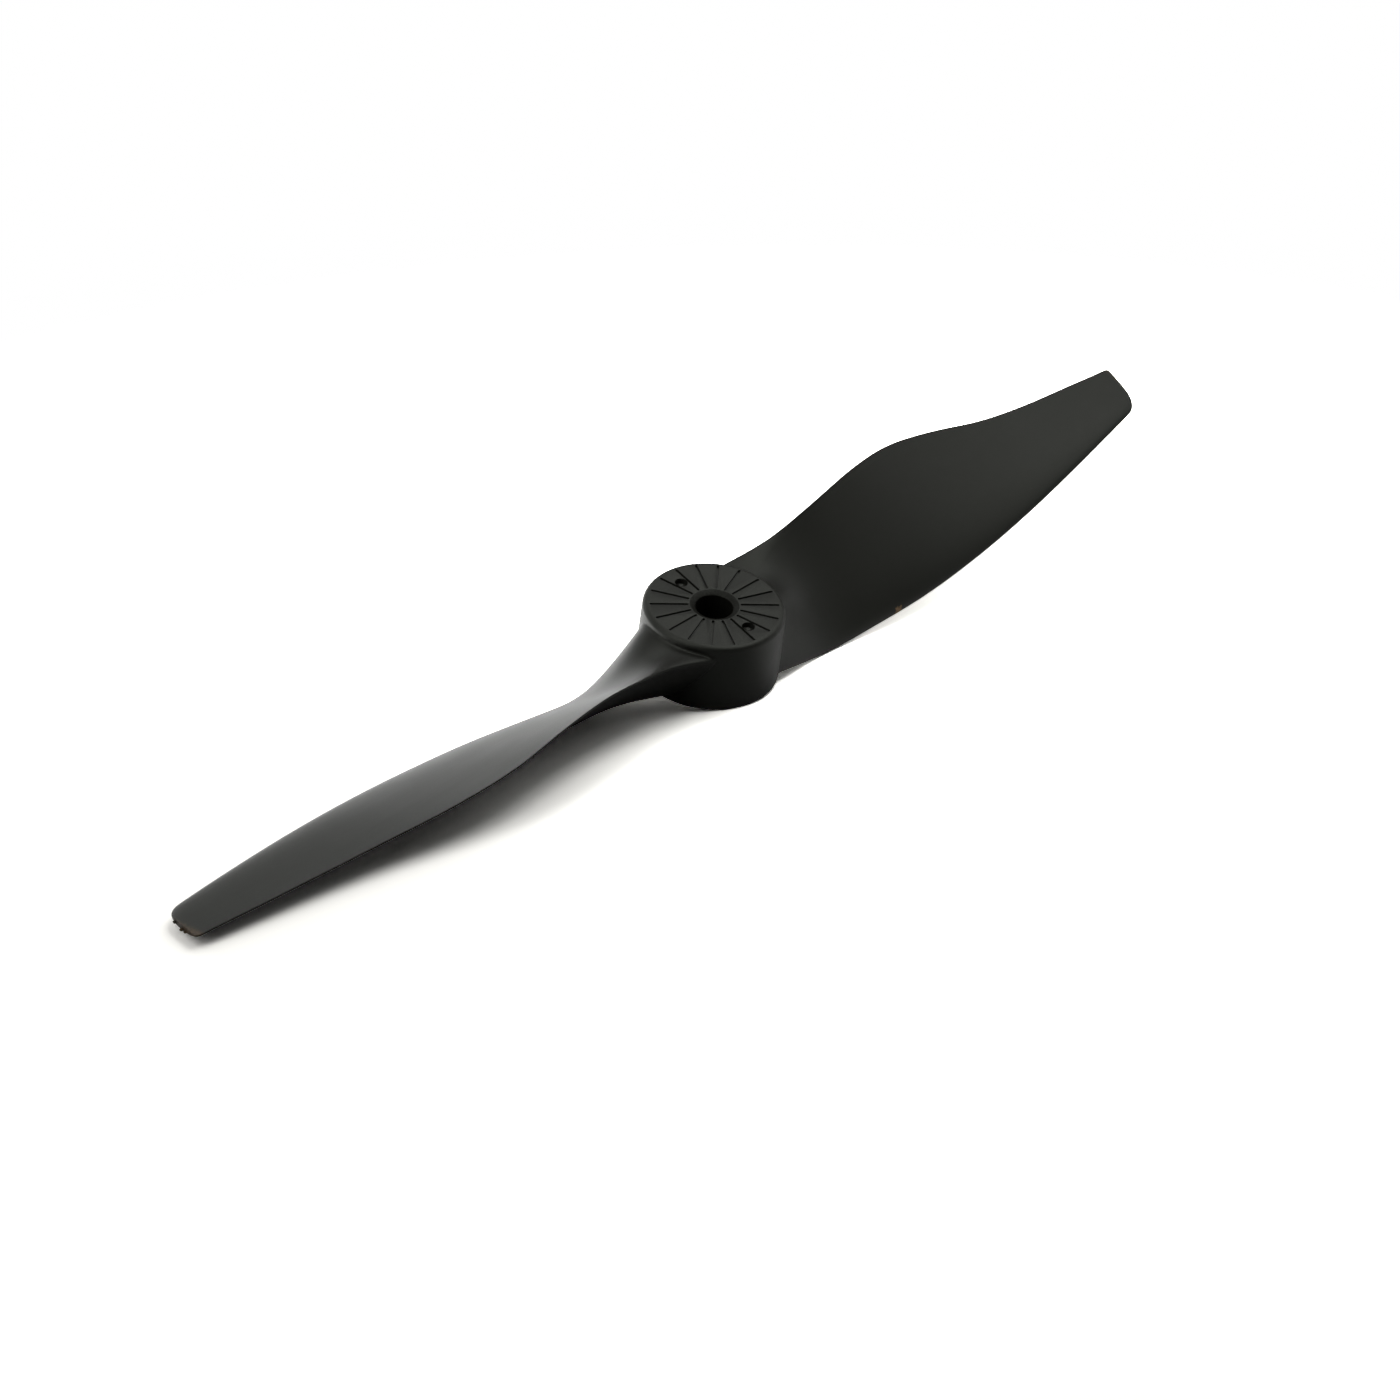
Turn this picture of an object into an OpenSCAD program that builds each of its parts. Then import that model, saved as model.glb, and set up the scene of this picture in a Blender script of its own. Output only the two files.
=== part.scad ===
// Two-blade propeller for a model aircraft, moulded in one piece: a grooved
// hub and two twisted blades. The bore is on the Z axis, the front face of the
// hub lies at z = 0 and the drive face looks up. Blade 1 runs along +X.
// Millimetres and degrees.

/* [Propeller] */
// Diameter of the circle that the blade tips run on
prop_d = 228.6; // [180:0.1:300]
// Distance that the propeller would advance in one turn
pitch = 222; // [150:1:280]

/* [Hub] */
// Diameter of the hub at its drive face
hub_d = 24; // [20:0.5:32]
// Height of the hub from the front face to the drive face
hub_h = 12.7; // [10:0.1:18]
// How much wider the hub's radius is at the front face, so that it leaves the mould
hub_draft = 0.25; // [0:0.05:0.6]
// Rounding of the rim of the drive face
rim_round = 1; // [0.2:0.1:1.1]
// Diameter of the shaft bore
bore_d = 6.4; // [3:0.05:8]
// Width of the chamfer at the bore's upper mouth
bore_chamfer = 1; // [0.3:0.1:1.5]
// Depth of the chamfer at the bore's upper mouth
chamfer_depth = 0.55; // [0.3:0.05:1.5]

/* [Drive face] */
// Number of radial grooves
groove_count = 18; // [6:2:24]
// Width of a groove
groove_w = 0.35; // [0.2:0.05:0.8]
// Depth of a groove
groove_depth = 0.4; // [0.1:0.05:0.8]
// Plain band between the outer end of a groove and the rim
groove_margin = 1.05; // [0.8:0.05:2]
// Plain band between the bore's chamfer and the inner end of a groove
groove_gap = 0.15; // [0.1:0.05:1]
// Distance of the gate wells from the axis
well_r = 7.65; // [6.5:0.05:8.5]
// Diameter of a gate well
well_d = 2.2; // [1:0.1:2.4]
// Depth of a gate well
well_depth = 1; // [0.2:0.05:2]
// Diameter of the broken gate stub in a well
stub_d = 0.8; // [0.4:0.1:0.9]

/* [Blades] */
// Widest chord of a blade
blade_w = 26; // [20:0.5:32]
// Thickness of a blade at half of the tip radius
blade_t = 2.4; // [1.8:0.1:3.4]
// Thickness of the trailing edge
edge_t = 0.25; // [0.2:0.05:0.8]
// Hollow of the mean line, as a share of the thickness
camber = 0.2; // [0:0.05:0.6]
// How far the end of the tip is cut back towards the leading edge
tip_rake = 1.1; // [0:0.1:3]
// Width of the rounding of the tip's leading corner, seen from above
tip_round = 3.2; // [1:0.1:4]
// Length of the rounding of the tip's leading corner, along the blade
tip_len = 4.2; // [3:0.1:8]
// Rounding of the tip's trailing corner
tip_tail = 0.5; // [0.2:0.1:1]

/* [Blade roots] */
// Distance from the front face's rim over which the root turns into the blade's section
root_len = 21.1; // [10:0.1:24]
// Lip of the hub that stays clear above the root
root_top = 1.6; // [1.2:0.1:3]
// Step from the hub's front face up to the root
root_bottom = 0.25; // [0.1:0.05:2]
// Width of the root around the hub, in degrees
root_wrap = 77.9; // [60:0.1:90]
// Angle of the root's middle from the blade's axis
root_shift = -7.7; // [-15:0.1:0]
// How far the root leans, in degrees between its middle and its top
root_lean = 18.8; // [0:0.1:22]
// Fillet between the root and the hub
root_fillet = 0.6; // [0.4:0.1:1.1]

/* [Hidden] */

// Shape of a blade at each tenth of the tip radius, from 0.1 to 1
// Leading edge ahead of the pitch axis, as shares of the widest chord
LEAD = [0.485, 0.5, 0.53, 0.541, 0.509, 0.463, 0.403, 0.334, 0.261, 0.193];
// Trailing edge behind the pitch axis, as shares of the widest chord
TRAIL = [0.318, 0.371, 0.41, 0.458, 0.482, 0.419, 0.317, 0.254, 0.212, 0.172];
// Pitch, as shares of the nominal pitch
PITCH = [0.507, 0.714, 0.962, 1.049, 1.054, 1.054, 1.027, 1.003, 1.005, 1.017];
// Thickness, as shares of the thickness at half of the radius
THICK = [2.67, 1.36, 1.5, 1.24, 1, 0.87, 0.75, 0.64, 0.52, 0.42];
// Height of the pitch axis over the front face, as shares of the hub's height
RISE = [0.541, 0.483, 0.565, 0.62, 0.617, 0.627, 0.64, 0.663, 0.694, 0.719];

colour = "#2b2c2d";
fine = 96;                     // facets of a round face
eps = 0.01;                    // how far a cut runs past the face it opens
tip_r = prop_d / 2;
hub_r = hub_d / 2;
bore_r = bore_d / 2;
mouth_r = bore_r + bore_chamfer;
groove_start = mouth_r + groove_gap;
groove_end = hub_r - groove_margin;

around = 72;                   // points around one blade section
step = 360 / around;
root_turn = 39.8;              // angle from a root's side to its trailing corner
root_fade = 3;                 // how quickly the root fades into the blade
nose_power = 4.9;              // squareness of the root's leading side
tail_power = 6.5;              // squareness of the root's trailing side
root_sink = 1;                 // how deep a root starts before the hub is cut off it
fillet_rows = 8;               // sections over the fillet
blade_rows = 34;               // sections between the fillet and the tip's corner
tip_rows = 6;                  // sections over the tip's rounded corner
tail_share = 1.6;              // length of the trailing corner's rounding over its width

root_mid = (root_bottom + hub_h - root_top) / 2;
root_half = (hub_h - root_top - root_bottom) / 2;

// Radius of the hub's side at height z
function side_r(z) = hub_r + hub_draft * (1 - z / hub_h);

// A smooth curve through evenly spaced values, at place t from 0 to len(v) - 1
function curve(v, t) =
    let (n = len(v) - 1, i = max(0, min(n - 1, floor(t))), f = t - i,
         a = v[max(0, i - 1)], b = v[i], c = v[i + 1], d = v[min(n, i + 2)])
    b + f * ((c - a) + f * ((2 * a - 5 * b + 4 * c - d) + f * (3 * (b - c) + d - a))) / 2;

// One of the shape lists at radius r
function shape(v, r) = curve(v, 10 * r / tip_r - 1);

// Half thickness of the section at share u of the chord, for a thickness of 1
function half_thickness(u) =
    5 * (0.2969 * sqrt(u) - 0.126 * u - 0.3516 * u * u + 0.2843 * pow(u, 3)
         - 0.1036 * pow(u, 4));

// Share of a rounded corner of the tip, of the given length, that lies inside radius r
function in_corner(r, length) = max(0, 1 - (tip_r - r) / length);

// How far a corner of the tip is rounded off at radius r
function round_off(r, length, width) = width * (1 - sqrt(1 - pow(in_corner(r, length), 2)));

// Point of a blade section as [arc length towards the trailing edge, height].
// The angle a is 0 at the leading edge and 180 at the trailing edge, and the
// points between them lie on the upper, pressure side.
function section(r, a) =
    let (u = (1 - cos(a)) / 2,
         lead = shape(LEAD, r) * blade_w - round_off(r, tip_len, tip_round),
         trail = shape(TRAIL, r) * blade_w - round_off(r, tail_share * tip_tail, tip_tail),
         t = shape(THICK, r) * blade_t,
         slope = atan(pitch * shape(PITCH, r) / (2 * PI * r)),
         half = t * half_thickness(u) + edge_t / 2 * u,
         chordwise = u * (lead + trail) - lead,
         across = (a <= 180 ? half : -half) - camber * t * 4 * u * (1 - u))
    [chordwise * cos(slope) - across * sin(slope),
     shape(RISE, r) * hub_h + chordwise * sin(slope) + across * cos(slope)];

// Point of the root where it meets the hub, in the same form. It is a block
// with a round leading side and a square trailing side.
function root(a, grow) =
    let (b = 180 + root_turn - a,
         p = cos(b) < 0 ? nose_power : tail_power,
         out = pow(pow(abs(cos(b)), p) + pow(abs(sin(b)), p), -1 / p),
         x = out * cos(b), y = out * sin(b),
         angle = root_shift + root_wrap / 2 * x + root_lean * y)
    [PI / 180 * hub_r * angle + grow * x, max(root_bottom / 2, root_mid + (root_half + grow) * y)];

// Point of the blade's skin at radius r. The root keeps its own shape as far as the
// front face's rim, so nothing hangs below that face.
function skin(r, a) =
    let (f = max(0, 1 - max(0, r - hub_r) / root_fillet),
         grow = root_fillet * (1 - sqrt(1 - f * f)),
         w = 1 - pow(max(0, 1 - max(0, r - side_r(0)) / root_len), root_fade),
         p = (1 - w) * root(a, grow) + w * section(r, a),
         cut = tip_rake * in_corner(r, tip_len) * (1 + cos(a)) / 2,
         turn = 180 / PI * p[0] / r)
    [(r - cut) * cos(turn), (r - cut) * sin(turn), p[1]];

// Radii of the sections, from inside the hub to the tip
function radii() = let (inner = hub_r + root_fillet, outer = tip_r - tip_len) concat(
    [hub_r - root_sink],
    [for (i = [0:fillet_rows - 1]) hub_r + root_fillet * (1 - cos(90 * i / fillet_rows))],
    [for (i = [0:blade_rows - 1]) inner + (outer - inner) * pow(i / blade_rows, 1.15)],
    [for (i = [0:tip_rows]) outer + tip_len * sin(90 * i / tip_rows)]);

// Triangles that close a ring, in strips across it
function end_cap(first, flip) =
    [for (i = [0:around / 2 - 1]) let (
        a = first + i, b = first + i + 1,
        c = first + (around - i - 1) % around, d = first + (around - i) % around)
        each [if (a != d) flip ? [a, b, d] : [a, d, b], if (b != c) flip ? [b, c, d] : [b, d, c]]];

module blade() {
    rings = radii();
    last = len(rings) - 1;
    points = [for (r = rings) for (i = [0:around - 1]) skin(r, i * step)];
    sides = [for (j = [0:last - 1]) for (i = [0:around - 1]) let (
        a = j * around + i, b = j * around + (i + 1) % around, c = b + around, d = a + around)
        each [[a, b, c], [a, c, d]]];
    difference() {
        polyhedron(points, concat(sides, end_cap(0, false), end_cap(last * around, true)));
        cylinder(h = hub_h, r1 = side_r(0), r2 = side_r(hub_h), $fn = fine);
    }
}

// Half of the hub's cross-section, without the bore
module hub_profile() {
    polygon(concat(
        [[0, 0], [side_r(0), 0]],
        [for (a = [0:15:90]) [side_r(hub_h) - rim_round * (1 - cos(a)),
                              hub_h - rim_round * (1 - sin(a))]],
        [[0, hub_h]]));
}

module hub() {
    color(colour) difference() {
        rotate_extrude($fn = fine) hub_profile();
        translate([0, 0, -eps]) cylinder(h = hub_h + 2 * eps, r = bore_r, $fn = fine);
        translate([0, 0, hub_h - chamfer_depth])
            cylinder(h = chamfer_depth + eps, r1 = bore_r - eps, r2 = mouth_r, $fn = fine);
        for (i = [0:groove_count - 1]) rotate([0, 0, i * 360 / groove_count]) groove();
        for (side = [-1, 1]) translate([0, side * well_r, 0]) well();
    }
}

module groove() {
    translate([groove_start, -groove_w / 2, hub_h - groove_depth])
        cube([groove_end - groove_start, groove_w, groove_depth + eps]);
}

// A well with the stub of the gate left standing in it
module well() {
    translate([0, 0, hub_h - well_depth]) difference() {
        cylinder(h = well_depth + eps, d = well_d, $fn = fine / 2);
        translate([0, 0, -eps]) cylinder(h = well_depth / 2 + eps, d = stub_d, $fn = fine / 4);
    }
}

module blade_1() {
    color(colour) blade();
}

module blade_2() {
    color(colour) rotate([0, 0, 180]) blade();
}

hub();
blade_1();
blade_2();
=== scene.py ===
"""A moulded two-blade propeller for a model aircraft, resting on a white table."""

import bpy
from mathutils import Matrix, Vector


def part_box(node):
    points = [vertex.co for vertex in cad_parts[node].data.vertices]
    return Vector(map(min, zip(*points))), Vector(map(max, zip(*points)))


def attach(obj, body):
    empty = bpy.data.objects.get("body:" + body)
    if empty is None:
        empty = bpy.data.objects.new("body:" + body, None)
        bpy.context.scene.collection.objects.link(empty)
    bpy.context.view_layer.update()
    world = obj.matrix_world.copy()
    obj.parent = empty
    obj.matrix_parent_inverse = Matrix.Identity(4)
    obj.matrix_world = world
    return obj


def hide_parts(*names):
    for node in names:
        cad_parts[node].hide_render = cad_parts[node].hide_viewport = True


bl_info = {
    "name": "Moulded Propeller",
    "version": (1, 0, 0),
    "blender": (4, 5, 0),
    "location": "3D View > Sidebar > Propeller",
    "description": "Hub, twisted blades, black moulded plastic and a white table",
    "category": "Add Mesh",
}

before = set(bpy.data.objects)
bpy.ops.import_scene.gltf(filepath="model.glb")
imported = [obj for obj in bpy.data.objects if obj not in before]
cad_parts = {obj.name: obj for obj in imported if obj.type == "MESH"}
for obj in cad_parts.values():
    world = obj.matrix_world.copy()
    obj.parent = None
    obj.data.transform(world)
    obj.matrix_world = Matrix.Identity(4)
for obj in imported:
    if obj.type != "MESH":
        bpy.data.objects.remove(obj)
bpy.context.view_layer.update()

import math

import bmesh
import bpy
from mathutils import Matrix, Vector
from mathutils.geometry import intersect_ray_tri

HUB_LOW, HUB_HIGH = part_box("hub")
FOOT_R = min(HUB_HIGH[0], HUB_HIGH[1], -HUB_LOW[0], -HUB_LOW[1])
MM = 0.001


# ---------------------------------------------------------------- sizes


class HubSizes(bpy.types.PropertyGroup):
    """Sizes of the hub. Its radius and height come from the frame."""

    draft: bpy.props.FloatProperty(
        name="Draft", description="How much narrower the hub is at its drive face",
        default=0.25 * MM, subtype="DISTANCE", precision=5)
    rim_round: bpy.props.FloatProperty(
        name="Rim rounding", description="Radius of the rim of the drive face",
        default=1.0 * MM, subtype="DISTANCE", precision=5)
    foot_round: bpy.props.FloatProperty(
        name="Foot rounding", description="Radius of the edge of the front face",
        default=0.15 * MM, subtype="DISTANCE", precision=5)
    bore_r: bpy.props.FloatProperty(
        name="Bore radius", description="Radius of the shaft bore",
        default=3.2 * MM, subtype="DISTANCE", precision=5)
    chamfer_w: bpy.props.FloatProperty(
        name="Chamfer width", description="Width of the chamfer at the bore's mouth",
        default=1.0 * MM, subtype="DISTANCE", precision=5)
    chamfer_depth: bpy.props.FloatProperty(
        name="Chamfer depth", description="Depth of the chamfer at the bore's mouth",
        default=0.55 * MM, subtype="DISTANCE", precision=5)
    grooves: bpy.props.IntProperty(
        name="Grooves", description="Number of radial grooves in the drive face",
        default=18, min=0)
    groove_w: bpy.props.FloatProperty(
        name="Groove width", description="Width of a groove",
        default=0.45 * MM, subtype="DISTANCE", precision=5)
    groove_depth: bpy.props.FloatProperty(
        name="Groove depth", description="Depth of a groove",
        default=0.4 * MM, subtype="DISTANCE", precision=5)
    groove_start: bpy.props.FloatProperty(
        name="Groove start", description="Distance of a groove's inner end from the axis",
        default=4.35 * MM, subtype="DISTANCE", precision=5)
    groove_end: bpy.props.FloatProperty(
        name="Groove end", description="Distance of a groove's outer end from the axis",
        default=10.95 * MM, subtype="DISTANCE", precision=5)
    well_at: bpy.props.FloatProperty(
        name="Well distance", description="Distance of a gate well from the axis",
        default=7.65 * MM, subtype="DISTANCE", precision=5)
    well_r: bpy.props.FloatProperty(
        name="Well radius", description="Radius of a gate well",
        default=1.1 * MM, subtype="DISTANCE", precision=5)
    well_depth: bpy.props.FloatProperty(
        name="Well depth", description="Depth of a gate well",
        default=1.0 * MM, subtype="DISTANCE", precision=5)
    stub_r: bpy.props.FloatProperty(
        name="Stub radius", description="Radius of the broken gate stub in a well",
        default=0.4 * MM, subtype="DISTANCE", precision=5)
    edge_round: bpy.props.FloatProperty(
        name="Edge rounding", description="Softness of the small edges of the mould",
        default=0.03 * MM, subtype="DISTANCE", precision=5)


class BladeSizes(bpy.types.PropertyGroup):
    """Finish of the blades' edges. Their shape comes from the frame."""

    edge_round: bpy.props.FloatProperty(
        name="Edge rounding", description="Rounding of the blades' sharp edges",
        default=0.1 * MM, subtype="DISTANCE", precision=5)
    sink: bpy.props.FloatProperty(
        name="Root depth", description="How far a root reaches into the hub, as a share",
        default=0.95, min=0.8, max=1.0, subtype="FACTOR")


class Finish(bpy.types.PropertyGroup):
    """Colours of the plastic and of the table."""

    plastic: bpy.props.FloatVectorProperty(
        name="Plastic", description="Colour of the moulded plastic",
        subtype="COLOR", size=3, default=(0.0024, 0.0022, 0.0015))
    dust: bpy.props.FloatVectorProperty(
        name="Dust", description="Colour of the dust specks",
        subtype="COLOR", size=3, default=(0.16, 0.16, 0.15))
    flash: bpy.props.FloatVectorProperty(
        name="Flash", description="Colour of the ragged flash and of the scuffed spot",
        subtype="COLOR", size=3, default=(0.10, 0.062, 0.03))
    blade_gloss: bpy.props.FloatProperty(
        name="Blades' gloss", description="Mirror level of the blades",
        default=0.285, min=0.0, subtype="FACTOR")
    hub_gloss: bpy.props.FloatProperty(
        name="Hub's gloss", description="Mirror level of the hub",
        default=0.345, min=0.0, subtype="FACTOR")
    gloss_tint: bpy.props.FloatVectorProperty(
        name="Tint of the gloss", description="Colour of the gloss seen straight on",
        subtype="COLOR", size=3, default=(0.95, 1.0, 0.89))
    table: bpy.props.FloatProperty(
        name="Table", description="How much light the table sends back to the propeller",
        default=0.3, min=0.0, subtype="FACTOR")
    # painted reflection: the table is this bright only in the gloss, which paints the sheen on the
    # near blade's leading edge and the strip on the hub's right side
    painted_reflection_level: bpy.props.FloatProperty(
        name="Mirrored table", description="How bright the table behind looks in the gloss",
        default=3.2, min=0.0, subtype="FACTOR")
    near_white: bpy.props.FloatProperty(
        name="White at the near end", description="How bright the table looks at the near end",
        default=1.1, min=0.0, subtype="FACTOR")
    # painted light: a higher value whitens the far end of the table and washes out the far blade's
    # shadow
    far_white: bpy.props.FloatProperty(
        name="White at the far end", description="How bright the table looks at the far end",
        default=4.5, min=0.0, subtype="FACTOR")


class Stage(bpy.types.PropertyGroup):
    """The softboxes."""

    reach: bpy.props.FloatProperty(
        name="Lamp distance", description="Distance of the softboxes from the hub",
        default=1.0, subtype="DISTANCE")
    softbox: bpy.props.FloatProperty(
        name="Softbox", description="Diameter of a softbox",
        default=0.4, subtype="DISTANCE")
    level: bpy.props.FloatProperty(
        name="Light level", description="Strength of all the softboxes together",
        default=1.7, min=0.0, subtype="FACTOR")


# ---------------------------------------------------------------- shader maths


def maths(operation, swapped=False):
    """A method of Wire that makes one maths node."""
    def method(self, other):
        a, b = (other, self) if swapped else (self, other)
        return self.graph.sum(operation, a, b)
    return method


class Wire:
    """An output socket that takes part in sums."""

    def __init__(self, graph, socket):
        self.graph = graph
        self.socket = socket

    __add__ = __radd__ = maths("ADD")
    __sub__ = maths("SUBTRACT")
    __rsub__ = maths("SUBTRACT", swapped=True)
    __mul__ = __rmul__ = maths("MULTIPLY")
    __truediv__ = maths("DIVIDE")
    __rtruediv__ = maths("DIVIDE", swapped=True)
    __pow__ = maths("POWER")
    __gt__ = maths("GREATER_THAN")
    __lt__ = maths("LESS_THAN")

    def clear(self):
        """The value held between 0 and 1."""
        return self.graph.node("ShaderNodeClamp", {}, {"Value": self})

    def between(self, low, high):
        """0 below low, 1 above high and smooth between them."""
        return self.graph.node(
            "ShaderNodeMapRange", {"interpolation_type": "SMOOTHSTEP"},
            {"Value": self, "From Min": low, "From Max": high})


class Graph:
    """The node tree of a material or of the world."""

    def __init__(self, owner):
        owner.use_nodes = True
        self.owner = owner
        self.tree = owner.node_tree
        self.tree.nodes.clear()

    def node(self, kind, settings, values, out=0):
        """Adds a node, makes its settings, fills its sockets and gives one output."""
        made = self.tree.nodes.new(kind)
        for name, value in settings.items():
            setattr(made, name, value)
        for key, value in values.items():
            if isinstance(value, Wire):
                self.tree.links.new(value.socket, made.inputs[key])
            else:
                made.inputs[key].default_value = value
        return Wire(self, made.outputs[out]) if made.outputs else None

    def sum(self, operation, a, b):
        """One maths node."""
        return self.node("ShaderNodeMath", {"operation": operation}, {0: a, 1: b})

    def mix(self, factor, a, b):
        """Colour a where the factor is 0 and b where it is 1."""
        return self.node(
            "ShaderNodeMix", {"data_type": "RGBA"}, {"Factor": factor, 6: a, 7: b}, 2)

    def noise(self, place, scale, detail=3.0, rough=0.55):
        """Cloudy values around 0.5, with so many lumps to the metre."""
        return self.node(
            "ShaderNodeTexNoise", {},
            {"Vector": place, "Scale": scale, "Detail": detail, "Roughness": rough})

    def place(self):
        """Where a point lies, in the frame that all the pieces share."""
        return self.node("ShaderNodeTexCoord", {}, {}, "Object")

    def stretch(self, place, scale):
        """The place scaled along each axis. A small scale draws the pattern out."""
        return self.node("ShaderNodeMapping", {}, {"Vector": place, "Scale": scale})

    def axes(self, place):
        """The three values of a place or a colour."""
        first = self.node("ShaderNodeSeparateXYZ", {}, {"Vector": place})
        return [Wire(self, output) for output in first.socket.node.outputs]

    def far_from(self, x, y, z, point):
        """Distance from a point."""
        a, b, c = x - point[0], y - point[1], z - point[2]
        return (a * a + b * b + c * c) ** 0.5

    def finish(self, shader, output="ShaderNodeOutputMaterial"):
        """Ends the tree and gives the material or world that it belongs to."""
        self.node(output, {}, {"Surface": shader})
        return self.owner


# Scuffed spot on the leading edge of the far blade
NICK = (38.5 * MM, -10.4 * MM, -1.3 * MM)
NICK_R = 1.3 * MM
# Distances from the axis between which the tips take on the colour of the flash
FRINGE_START, FRINGE_END = 112.6 * MM, 114.2 * MM


def rgba(colour, gain=1.0):
    """A colour of three values, brightened and made opaque."""
    return tuple(float(v) * gain for v in colour) + (1.0,)


def specks(g, place, spacing, size, share):
    """Round specks of about the given size, in a share of the cells of a loose grid."""
    cell = {"Vector": place, "Scale": 1 / spacing, "Randomness": 1.0}
    distance = g.node("ShaderNodeTexVoronoi", {"feature": "F1"}, cell, "Distance")
    colour = g.node("ShaderNodeTexVoronoi", {"feature": "F1"}, cell, "Color")
    pick, vary, _ = g.axes(colour)
    radius = (vary * 0.7 + 0.3) * (size / spacing)
    return (1 - (distance / radius).between(0.6, 1.0)) * (pick > 1 - share)


def moulded_plastic(name, finish, along_blade, mouth=0.0):
    """Black plastic from a spark-finished mould, a little rubbed and dusty. Inside the
    radius of the bore's mouth the gloss gives way to a matt, near-black surface: painted
    shade that darkens the chamfer."""
    g = Graph(bpy.data.materials.new(name))
    place = g.place()
    x, y, z = g.axes(place)
    from_axis = (x * x + y * y) ** 0.5
    cloud = g.noise(place, 1 / (22 * MM), 3.0, 0.5)
    smear = g.noise(g.stretch(place, (0.25, 1.0, 1.0)), 1 / (6 * MM), 4.0, 0.6)
    grain = g.noise(place, 1 / (0.22 * MM), 2.0, 0.6)
    pores = g.noise(place, 1 / (0.9 * MM), 3.0, 0.6)
    dust = specks(g, place, 4.2 * MM, 0.11 * MM, 0.16)
    lint = specks(g, place, 2.3 * MM, 0.05 * MM, 0.30)
    marks = (dust + lint * 0.6).clear()
    if along_blade:
        ragged = g.noise(place, 1 / (0.5 * MM), 3.0, 0.7)
        nick = 1 - (g.far_from(x, y, z, NICK) / NICK_R + ragged * 1.4).between(1.2, 1.4)
        near_end = 0.25 + 0.75 * (x < 0)
        fringe = from_axis.between(FRINGE_START, FRINGE_END) * near_end * ragged.between(0.25, 0.6)

    colour = g.mix(
        cloud.between(0.3, 0.7), rgba(finish.plastic), rgba(finish.plastic, 1.35))
    colour = g.mix(smear.between(0.55, 0.9) * 0.3, colour, rgba(finish.plastic, 1.8))
    colour = g.mix(marks * 0.8, colour, rgba(finish.dust))
    if along_blade:
        colour = g.mix(fringe * 0.6, colour, rgba(finish.flash))
        colour = g.mix(nick, colour, rgba(finish.flash, 1.6))

    rough = 0.42 + cloud * 0.08 + smear * 0.06 + grain * 0.05 + marks * 0.3
    height = grain * 0.6 + pores * 0.4
    if along_blade:
        flow = g.noise(g.stretch(place, (0.06, 1.0, 1.0)), 1 / (1.1 * MM), 2.0, 0.5)
        height = height + flow * 0.5
        rough = rough - 0.02
    bump = g.node(
        "ShaderNodeBump", {},
        {"Strength": 0.35, "Distance": 0.03 * MM, "Height": height})
    shader = g.node(
        "ShaderNodeBsdfPrincipled", {},
        {"Base Color": colour, "Roughness": rough, "Normal": bump, "IOR": 1.5,
         "Specular IOR Level": finish.blade_gloss if along_blade else finish.hub_gloss,
         "Specular Tint": rgba(finish.gloss_tint)})
    # painted shade: the bore's mouth loses its gloss and turns matt near-black, with streaks down
    # the chamfer
    if mouth:
        streaks = g.noise(g.stretch(place, (1.0, 1.0, 0.1)), 1 / (0.4 * MM), 3.0, 0.7)
        mouth_shade_mask = 1 - (from_axis - mouth).between(-0.1 * MM, 0.0)
        painted_shade_matt = g.node("ShaderNodeBsdfDiffuse", {}, {"Color": colour, "Roughness": 1.0})
        share = mouth_shade_mask * (0.8 - streaks * 0.5)
        shader = g.node("ShaderNodeMixShader", {}, {"Fac": share, 1: shader, 2: painted_shade_matt})
    return g.finish(shader)


# ---------------------------------------------------------------- mesh helpers


def deselect():
    """Leaves edit mode and selects nothing."""
    if bpy.context.object and bpy.context.object.mode != "OBJECT":
        bpy.ops.object.mode_set(mode="OBJECT")
    bpy.ops.object.select_all(action="DESELECT")


def newest(name):
    """Names the piece that was added last and gives it."""
    made = bpy.context.object
    made.name = name
    made.data.name = name
    return made


def activate(piece):
    """Selects one piece alone."""
    deselect()
    piece.select_set(True)
    bpy.context.view_layer.objects.active = piece


def pick_edges(piece, test):
    """Selects the edges of a piece whose two ends pass the test, in edit mode."""
    activate(piece)
    bpy.ops.object.mode_set(mode="EDIT")
    bpy.ops.mesh.select_mode(type="EDGE")
    bpy.ops.mesh.select_all(action="DESELECT")
    mesh = bmesh.from_edit_mesh(piece.data)
    for edge in mesh.edges:
        edge.select_set(all(test(v.co) for v in edge.verts))
    bmesh.update_edit_mesh(piece.data)


def leave_edit():
    bpy.ops.object.mode_set(mode="OBJECT")


def bake_place(piece):
    """Moves a piece's place, turn and scale into its mesh."""
    activate(piece)
    bpy.ops.object.transform_apply(location=True, rotation=True, scale=True)


def add_drum(name, radius, low, high, sides):
    """A closed cylinder on the axis."""
    deselect()
    bpy.ops.mesh.primitive_cylinder_add(
        vertices=sides, radius=radius, depth=high - low, location=(0, 0, (low + high) / 2))
    drum = newest(name)
    bake_place(drum)
    return drum


def placed_copy(piece, shift=(0, 0, 0), angle=0.0, size=1.0):
    """A copy with its own mesh, scaled, turned about the axis and then moved."""
    copy = piece.copy()
    copy.data = piece.data.copy()
    bpy.context.scene.collection.objects.link(copy)
    copy.location = shift
    copy.scale = (size, size, size)
    copy.rotation_euler = (0, 0, angle)
    bake_place(copy)
    return copy


def cut(piece, cutter):
    """Takes the cutter's volume out of the piece and removes the cutter."""
    activate(piece)
    trim = piece.modifiers.new("cut", "BOOLEAN")
    trim.operation = "DIFFERENCE"
    trim.solver = "EXACT"
    trim.object = cutter
    bpy.ops.object.modifier_apply(modifier=trim.name)
    bpy.data.objects.remove(cutter, do_unlink=True)


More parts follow.
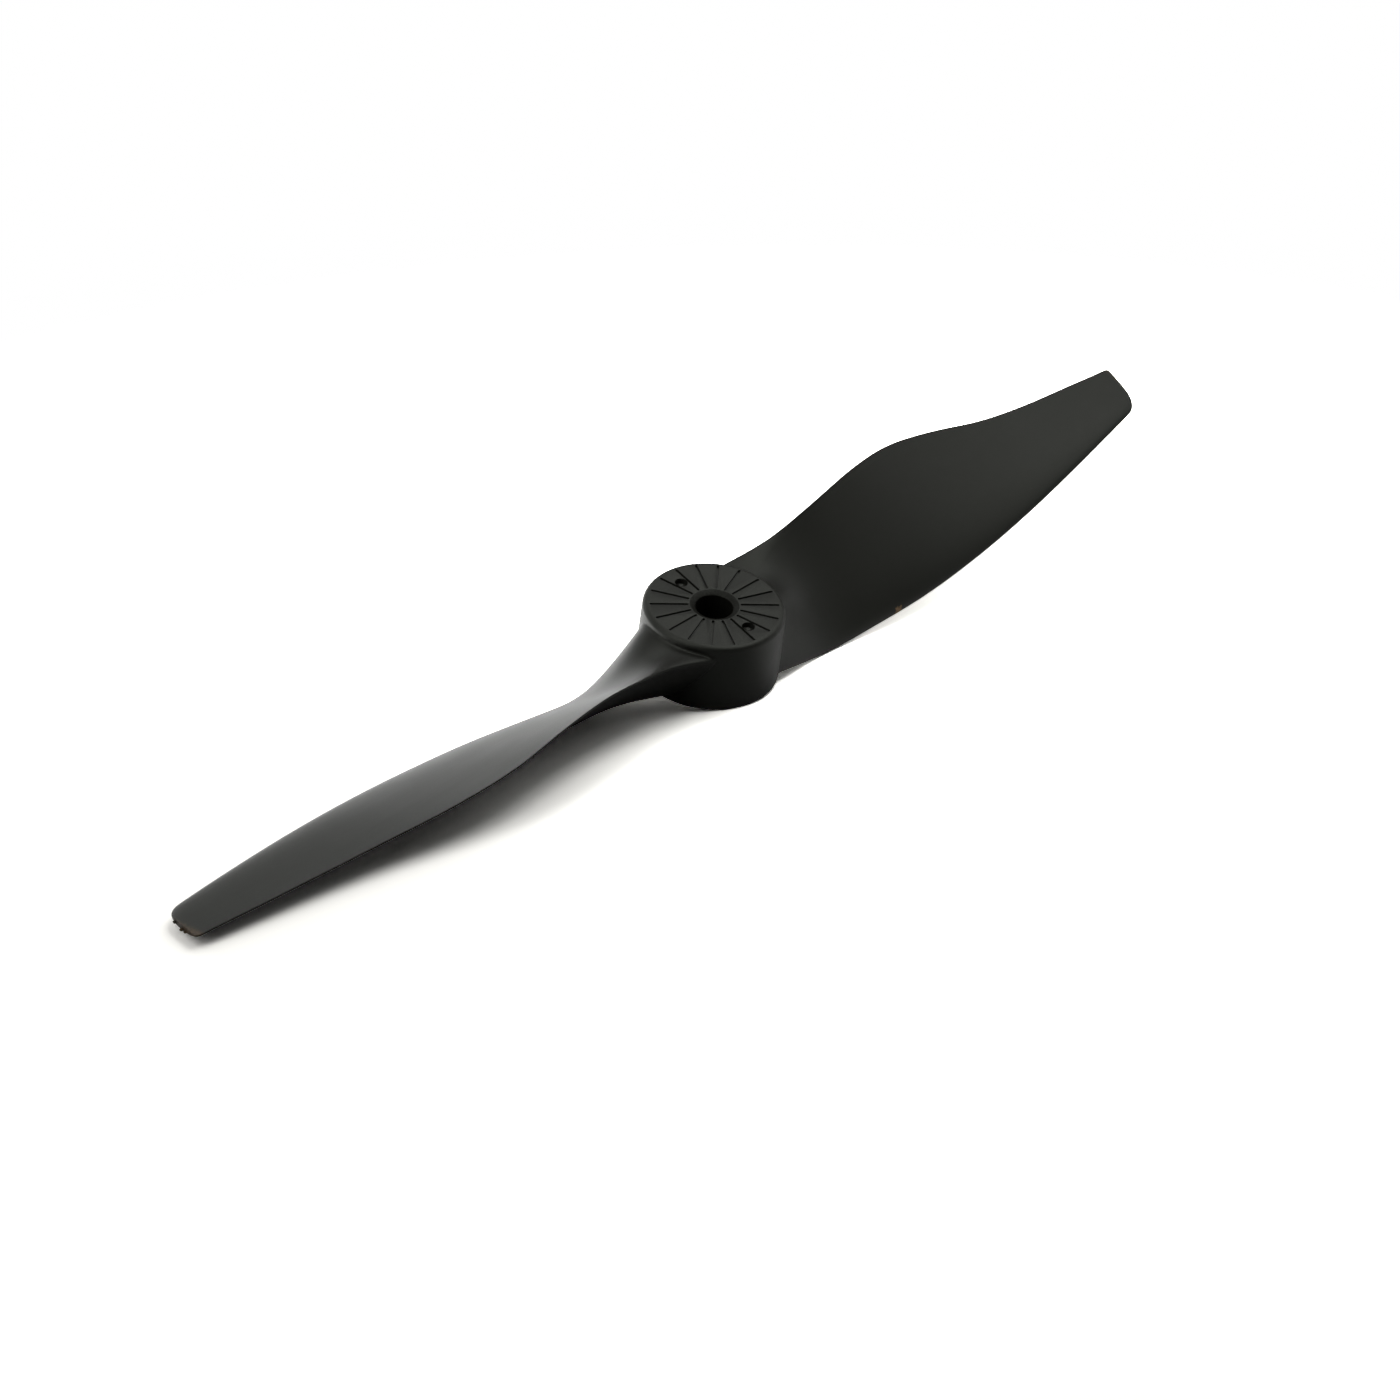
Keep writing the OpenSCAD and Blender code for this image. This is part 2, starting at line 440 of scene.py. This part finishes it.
def soften(piece, width, segments, angle):
    """Rounds the edges that are sharper than the angle, in degrees."""
    activate(piece)
    edge = piece.modifiers.new("edges", "BEVEL")
    edge.width = width
    edge.segments = segments
    edge.limit_method = "ANGLE"
    edge.angle_limit = math.radians(angle)
    edge.use_clamp_overlap = True
    bpy.ops.object.modifier_apply(modifier=edge.name)


def smooth(piece, angle):
    """Shades a piece smooth, apart from edges sharper than the angle, in degrees."""
    activate(piece)
    bpy.ops.object.shade_smooth_by_angle(angle=math.radians(angle))


def dress(piece, material, node):
    """Gives a piece its material and puts it in the place of a node."""
    piece.data.materials.clear()
    piece.data.materials.append(material)
    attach(piece, "root")
    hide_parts(node)


# ---------------------------------------------------------------- hub


def groove_cutter(sizes, top, over):
    """A bar with rounded ends and lower edges that stands where one groove goes."""
    start, end, floor = sizes.groove_start, sizes.groove_end, top - sizes.groove_depth
    deselect()
    bpy.ops.mesh.primitive_cube_add(
        size=1, location=((start + end) / 2, 0, (floor + top + over) / 2))
    bar = newest("groove_cutter")
    bar.scale = (end - start, sizes.groove_w, top + over - floor)
    bake_place(bar)
    pick_edges(bar, lambda co: True)
    keep_upright(bar)
    bpy.ops.mesh.bevel(offset=sizes.groove_w * 0.45, segments=4, affect="EDGES")
    leave_edit()
    pick_edges(bar, lambda co: abs(co.z - floor) < 0.01 * MM)
    bpy.ops.mesh.bevel(offset=0.06 * MM, segments=2, affect="EDGES")
    leave_edit()
    return bar


def keep_upright(piece):
    """Keeps only the upright edges selected, in edit mode."""
    mesh = bmesh.from_edit_mesh(piece.data)
    for edge in mesh.edges:
        a, b = (v.co for v in edge.verts)
        if edge.select and math.hypot(a.x - b.x, a.y - b.y) > 0.01 * MM:
            edge.select_set(False)
    bmesh.update_edit_mesh(piece.data)


def well_cutter(sizes, top, over):
    """The space of a gate well on the axis, with the broken stub left out of it."""
    well = add_drum("well_cutter", sizes.well_r, top - sizes.well_depth, top + over, 48)
    stub = add_drum("stub", sizes.stub_r, top - 2 * sizes.well_depth,
                    top - sizes.well_depth * 0.5, 24)
    cut(well, stub)
    return well


def chamfer_cutter(sizes, top):
    """A cone that runs a little past both ends of the chamfer."""
    past = 0.1 * MM
    spread = past * sizes.chamfer_w / sizes.chamfer_depth
    deselect()
    bpy.ops.mesh.primitive_cone_add(
        vertices=128, radius1=sizes.bore_r - spread,
        radius2=sizes.bore_r + sizes.chamfer_w + spread,
        depth=sizes.chamfer_depth + 2 * past,
        location=(0, 0, top - sizes.chamfer_depth / 2))
    cone = newest("chamfer_cutter")
    bake_place(cone)
    return cone


def make_hub(sizes):
    """The drum with its rounded rims, bore, chamfer, grooves and gate wells."""
    low, high = HUB_LOW[2], HUB_HIGH[2]
    near = 0.02 * MM
    over = 1 * MM
    hub = add_drum("hub_moulding", FOOT_R, low, high, 256)
    pick_edges(hub, lambda co: co.z > high - near)
    bpy.ops.transform.resize(value=((FOOT_R - sizes.draft) / FOOT_R,) * 2 + (1,))
    bpy.ops.mesh.bevel(offset=sizes.rim_round, segments=6, affect="EDGES")
    leave_edit()
    pick_edges(hub, lambda co: co.z < low + near)
    bpy.ops.mesh.bevel(offset=sizes.foot_round, segments=3, affect="EDGES")
    leave_edit()

    cut(hub, add_drum("bore_cutter", sizes.bore_r, low - over, high + over, 128))
    cut(hub, chamfer_cutter(sizes, high))
    bar = groove_cutter(sizes, high, over / 2)
    for i in range(sizes.grooves):
        cut(hub, placed_copy(bar, angle=2 * math.pi * i / sizes.grooves))
    well = well_cutter(sizes, high, over)
    for side in (-1, 1):
        cut(hub, placed_copy(well, shift=(0, side * sizes.well_at, 0)))
    for spare in (bar, well):
        bpy.data.objects.remove(spare, do_unlink=True)
    soften(hub, sizes.edge_round, 2, 50)
    smooth(hub, 35)
    return hub


# ---------------------------------------------------------------- blades


def copy_node(node, name):
    """A copy of a frame node with its own closed mesh of quads."""
    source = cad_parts[node]
    deselect()
    piece = bpy.data.objects.new(name, source.data.copy())
    bpy.context.scene.collection.objects.link(piece)
    activate(piece)
    bpy.ops.object.mode_set(mode="EDIT")
    bpy.ops.mesh.select_all(action="SELECT")
    bpy.ops.mesh.remove_doubles(threshold=0.001 * MM)
    bpy.ops.mesh.tris_convert_to_quads(face_threshold=math.radians(25),
                                       shape_threshold=math.radians(80))
    leave_edit()
    return piece


def hub_side(z):
    """Radius of the hub's side at a height."""
    draft = bpy.context.scene.propeller_hub.draft
    return FOOT_R - draft * (z - HUB_LOW[2]) / (HUB_HIGH[2] - HUB_LOW[2])


def make_blade(sizes, node, name):
    """Opens a blade where it meets the hub, sinks it in and rounds its edges."""
    blade = copy_node(node, name)

    def on_hub(co):
        return math.hypot(co.x, co.y) < hub_side(co.z) + 0.02 * MM

    activate(blade)
    bpy.ops.object.mode_set(mode="EDIT")
    bpy.ops.mesh.select_mode(type="FACE")
    bpy.ops.mesh.select_all(action="DESELECT")
    mesh = bmesh.from_edit_mesh(blade.data)
    for face in mesh.faces:
        face.select_set(all(on_hub(v.co) for v in face.verts))
    bmesh.update_edit_mesh(blade.data)
    bpy.ops.mesh.delete(type="FACE")
    bpy.ops.mesh.select_mode(type="EDGE")
    bpy.ops.mesh.select_non_manifold()
    bpy.ops.mesh.extrude_edges_move()
    bpy.ops.transform.resize(value=(sizes.sink, sizes.sink, 1), center_override=(0, 0, 0))
    leave_edit()
    soften(blade, sizes.edge_round, 2, 38)
    activate(blade)
    rounder = blade.modifiers.new("rounder", "SUBSURF")
    rounder.levels = rounder.render_levels = 1
    bpy.ops.object.modifier_apply(modifier=rounder.name)
    bpy.ops.object.mode_set(mode="EDIT")
    bpy.ops.mesh.select_all(action="DESELECT")
    bpy.ops.mesh.select_mode(type="EDGE")
    bpy.ops.mesh.select_non_manifold()
    bpy.ops.mesh.edge_face_add()
    leave_edit()
    smooth(blade, 60)
    return blade


# Lumps of flash on the end of the near blade: place in millimetres, size and turn
FLASH = ((-113.25, 1.95, 8.35, 0.30, 10), (-113.7, -0.25, 8.75, 0.36, 70),
         (-113.83, -1.1, 9.0, 0.33, 150))


def add_flash(blade):
    """Joins the ragged lumps of flash to a blade."""
    deselect()
    bpy.ops.mesh.primitive_ico_sphere_add(subdivisions=3, radius=1 * MM)
    lump = newest("flash_lump")
    lump.scale = (0.8, 1.1, 0.6)
    bake_place(lump)
    bpy.ops.object.mode_set(mode="EDIT")
    bpy.ops.mesh.select_all(action="SELECT")
    bpy.ops.transform.vertex_random(offset=0.12 * MM, seed=4)
    leave_edit()
    lumps = [placed_copy(lump, (x * MM, y * MM, z * MM), math.radians(turn), size)
             for x, y, z, size, turn in FLASH]
    bpy.data.objects.remove(lump, do_unlink=True)
    activate(blade)
    for copy in lumps:
        copy.select_set(True)
    bpy.ops.object.join()
    smooth(blade, 60)


# ---------------------------------------------------------------- table, lamps and camera


def resting_plane():
    """Upward normal and a point of the plane that the propeller rests on: the face of
    its convex hull that lies below the middle of the hub, on the leading side."""
    cloud = set()
    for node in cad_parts.values():
        cloud.update(tuple(round(v, 7) for v in vertex.co) for vertex in node.data.vertices)
    hull = bmesh.new()
    for place in cloud:
        hull.verts.new(place)
    bmesh.ops.convex_hull(hull, input=hull.verts)
    middle = Vector((0, 0, (HUB_LOW[2] + HUB_HIGH[2]) / 2))
    found = None
    for face in hull.faces:
        corners = [v.co.copy() for v in face.verts]
        normal = face.normal.copy()
        downward = normal.z < -0.5 and normal.y < 0
        if downward and intersect_ray_tri(*corners[:3], normal, middle, True):
            found = (-normal, corners[0])
    hull.free()
    if found is None:
        raise RuntimeError("the propeller has no face to rest on")
    return found


TABLE_R = 0.27
FADE_START, FADE_END = 0.19, 0.25
# Where the table's white starts and stops growing along the blades, and how steeply.
# The growth is painted light that washes out the far blade's shadow.
WHITE_FROM, WHITE_TO, WHITE_POWER = -0.12, 0.09, 1.5
TABLE_TINT = (1.0, 0.99, 0.95)


def table_material(finish):
    """A table that looks white and, with painted light, whiter toward the far end, which
    washes out the far blade's shadow; it keeps its other shadows and fades out at its rim.
    It sends back less light than it shows, and looks brighter only in the gloss behind the
    propeller and a little to its right: a painted reflection that makes the sheen on the
    near blade's leading edge and the bright strip on the hub's right side."""
    g = Graph(bpy.data.materials.new("white_table"))
    x, y, z = g.axes(g.place())
    seen = g.node("ShaderNodeLightPath", {}, {}, "Is Camera Ray")
    back = g.node("ShaderNodeNewGeometry", {}, {}, "Backfacing")
    mirrored = g.node("ShaderNodeLightPath", {}, {}, "Is Glossy Ray")
    cloud = g.noise(g.place(), 1 / (50 * MM))
    # painted light: the table turns whiter toward the far end, so the shadows there wash out
    painted_light_ramp = x.between(WHITE_FROM, WHITE_TO) ** WHITE_POWER
    white = finish.near_white + (finish.far_white - finish.near_white) * painted_light_ramp
    white = white * (1 - cloud * 0.01)
    # painted reflection: only in the gloss is the table behind, and a little to the right,
    # brighter, which paints the sheen on the near blade's leading edge and a bright strip on the
    # hub's right side
    behind = g.sum("MAXIMUM", y.between(0.0, 20 * MM), x.between(0.0, 12 * MM) * 0.2)
    sent_back = (1 - seen) * (
        finish.table + mirrored * behind * (finish.painted_reflection_level - finish.table))
    red, green, blue = (seen * white * tint + sent_back for tint in TABLE_TINT)
    colour = g.node("ShaderNodeCombineColor", {}, {0: red, 1: green, 2: blue})
    matt = g.node("ShaderNodeBsdfDiffuse", {}, {"Color": colour})
    clear = g.node("ShaderNodeBsdfTransparent", {}, {})
    edge = (x * x + y * y + z * z) ** 0.5
    gone = 1 - (1 - edge.between(FADE_START, FADE_END)) * (1 - back)
    return g.finish(g.node("ShaderNodeMixShader", {}, {"Fac": gone, 1: matt, 2: clear}))


def make_table(finish):
    """Adds the table and gives its normal and its middle."""
    normal, point = resting_plane()
    deselect()
    bpy.ops.mesh.primitive_circle_add(vertices=96, radius=TABLE_R, fill_type="NGON")
    table = newest("table")
    turn = Vector((0, 0, 1)).rotation_difference(normal).to_matrix()
    middle = normal * normal.dot(point)
    table.data.transform(Matrix.Translation(middle) @ turn.to_4x4())
    table.data.materials.append(table_material(finish))
    return normal, middle


# Softboxes: degrees to the right of straight ahead, degrees above the table, strength.
# A least-squares fit of the light gave the places and the strengths.
LAMPS = {
    "rear_low": (-22, 3, 2.43),
    "rear_right_low": (45, 3, 1.36),
    "right_low": (90, 11, 0.65),
    "left_low": (-60, 27, 2.15),
    "rear_left_low": (-30, 27, 0.37),
    "front_left_low": (-120, 27, 2.38),
    "right_mid": (60, 27, 0.48),
    "front_left": (-140, 47, 2.90),
    "rear_left": (-20, 47, 1.33),
    "rear_right": (20, 47, 0.99),
    "right": (60, 47, 1.58),
    "front_right": (100, 47, 0.92),
    "front_left_high": (-120, 68, 1.99),
    "rear_high": (0, 68, 0.89),
    "right_high": (60, 68, 1.55),
    "front_right_high": (120, 68, 3.24),
}


def add_softbox(name, direction, middle, stage, strength):
    """Adds a round lamp that faces the middle of the table."""
    deselect()
    bpy.ops.object.light_add(
        type="AREA", location=middle + direction * stage.reach,
        rotation=(-direction).to_track_quat("-Z", "Y").to_euler())
    lamp = bpy.context.object
    lamp.name = name
    lamp.data.shape = "DISK"
    lamp.data.size = stage.softbox
    # a lamp's power for a given brightness of its face
    lamp.data.energy = strength * stage.level * (math.pi * stage.softbox / 2) ** 2


def make_world():
    """A background that is white to the camera and gives no light."""
    world = bpy.data.worlds.new("studio")
    bpy.context.scene.world = world
    g = Graph(world)
    seen = g.node("ShaderNodeLightPath", {}, {}, "Is Camera Ray")
    dark, white = (
        g.node("ShaderNodeBackground", {}, {"Color": (1, 1, 1, 1), "Strength": strength})
        for strength in (0.0, 1.0))
    shown = g.node("ShaderNodeMixShader", {}, {"Fac": seen, 1: dark, 2: white})
    g.finish(shown, "ShaderNodeOutputWorld")


# The camera, in metres, degrees and millimetres
CAMERA_PLACE = (-0.332797, -0.262979, 0.333797)
CAMERA_TURN = (50.89007, -5.96708, -46.81321)
CAMERA_LENS = 82.3245


def make_camera():
    """Adds the scene's camera."""
    deselect()
    bpy.ops.object.camera_add(
        location=CAMERA_PLACE, rotation=[math.radians(a) for a in CAMERA_TURN])
    camera = bpy.context.object
    camera.name = "camera"
    camera.data.lens = CAMERA_LENS
    camera.data.sensor_width = 36
    camera.data.clip_start = 0.01
    bpy.context.scene.camera = camera
    return camera


# ---------------------------------------------------------------- operators


class PROPELLER_OT_hub(bpy.types.Operator):
    """Models the grooved hub"""
    bl_idname = "propeller.hub"
    bl_label = "Hub"

    def execute(self, context):
        scene = context.scene
        sizes = scene.propeller_hub
        hub = make_hub(sizes)
        plastic = moulded_plastic("hub_plastic", scene.propeller_finish, False,
                                  sizes.bore_r + sizes.chamfer_w)
        dress(hub, plastic, "hub")
        return {"FINISHED"}


class PROPELLER_OT_blades(bpy.types.Operator):
    """Models the two twisted blades"""
    bl_idname = "propeller.blades"
    bl_label = "Blades"

    def execute(self, context):
        scene = context.scene
        plastic = moulded_plastic("blade_plastic", scene.propeller_finish, True)
        for name, node in (("far_blade", "blade_1"), ("near_blade", "blade_2")):
            blade = make_blade(scene.propeller_blade, node, name)
            if node == "blade_2":
                add_flash(blade)
            dress(blade, plastic, node)
        return {"FINISHED"}


class PROPELLER_OT_stage(bpy.types.Operator):
    """Sets the table, the lamps, the background and the camera"""
    bl_idname = "propeller.stage"
    bl_label = "Stage"

    def execute(self, context):
        stage = context.scene.propeller_stage
        normal, middle = make_table(context.scene.propeller_finish)
        make_world()
        camera = make_camera()
        view = camera.matrix_basis.to_3x3() @ Vector((0, 0, -1))
        ahead = (view - normal * view.dot(normal)).normalized()
        right = ahead.cross(normal)
        for name, (azimuth, elevation, strength) in LAMPS.items():
            a, e = math.radians(azimuth), math.radians(elevation)
            level = ahead * math.cos(a) + right * math.sin(a)
            direction = level * math.cos(e) + normal * math.sin(e)
            add_softbox(name, direction, middle, stage, strength)
        return {"FINISHED"}


class PROPELLER_PT_panel(bpy.types.Panel):
    """Lists the sizes and the steps"""
    bl_label = "Propeller"
    bl_idname = "PROPELLER_PT_panel"
    bl_space_type = "VIEW_3D"
    bl_region_type = "UI"
    bl_category = "Propeller"

    def draw(self, context):
        """Draws a box for each group of sizes and a button for each step."""
        for group in GROUPS:
            box = self.layout.box()
            settings = getattr(context.scene, group)
            for name in settings.__annotations__:
                box.prop(settings, name)
        for step in STEPS:
            self.layout.operator(step)


STEPS = ("propeller.hub", "propeller.blades", "propeller.stage")
CLASSES = (HubSizes, BladeSizes, Finish, Stage, PROPELLER_OT_hub, PROPELLER_OT_blades,
           PROPELLER_OT_stage, PROPELLER_PT_panel)
GROUPS = {"propeller_hub": HubSizes, "propeller_blade": BladeSizes,
          "propeller_finish": Finish, "propeller_stage": Stage}


def register():
    for cls in CLASSES:
        bpy.utils.register_class(cls)
    for name, group in GROUPS.items():
        setattr(bpy.types.Scene, name, bpy.props.PointerProperty(type=group))


def unregister():
    for name in GROUPS:
        delattr(bpy.types.Scene, name)
    for cls in reversed(CLASSES):
        bpy.utils.unregister_class(cls)


def main():
    register()
    bpy.context.scene.view_settings.view_transform = "Standard"
    bpy.ops.propeller.hub()
    bpy.ops.propeller.blades()
    bpy.ops.propeller.stage()


if __name__ == "__main__":
    main()
